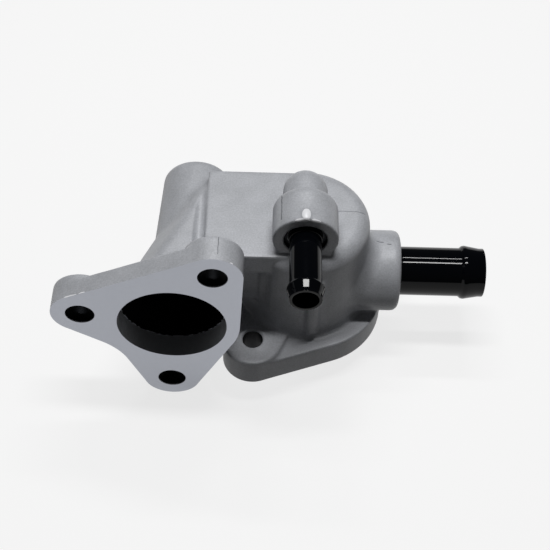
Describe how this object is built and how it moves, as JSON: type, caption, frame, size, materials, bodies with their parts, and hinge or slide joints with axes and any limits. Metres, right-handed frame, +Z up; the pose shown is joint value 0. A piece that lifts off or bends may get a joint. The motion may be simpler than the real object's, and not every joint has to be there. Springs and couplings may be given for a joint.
{
  "type": "thermostat housing",
  "caption": "Cast aluminium coolant housing with a flanged side port, pressed-in hose tubes and a spring-loaded wax valve that opens when the coolant is hot.",
  "frame": {"origin": "on the chamber's axis, in the machined face of the lower flange", "axes": "+Z up the chamber, +X along the large hose tube towards its free end, and the port flange faces -Y"},
  "size_m": [0.1362, 0.0742, 0.0725],
  "materials": {
    "cast_aluminium": "satin cast skin, milled flange faces",
    "black_coat": "gloss black dip coat on steel tube",
    "seal_rubber": "matt moulded",
    "valve_brass": "turned and stamped",
    "strip_steel": "bent strip and drawn wire"
  },
  "bodies": {
    "housing": {"housing_casting": "cast_aluminium", "large_hose_tube": "black_coat", "small_hose_tube": "black_coat", "seal_ring": "seal_rubber", "rim_plate": "valve_brass", "upper_frame": "strip_steel", "lower_bridge": "strip_steel", "piston_pin": "strip_steel", "main_spring": "strip_steel"},
    "valve": {"valve_disc": "valve_brass", "wax_capsule": "valve_brass"},
    "vent": {"vent_pin": "valve_brass"}
  },
  "joints": [
    {"name": "valve_lift", "type": "slide", "parent": "housing", "child": "valve", "axis": [0, 0, 1], "range_m": [0, 0.008], "stiffness_N_per_m": 3000, "springref_m": -0.004, "deforming": ["main_spring"]},
    {"name": "vent_slide", "type": "slide", "parent": "housing", "child": "vent", "axis": [0, 0, 1], "range_m": [0, 0.0014]}
  ]
}
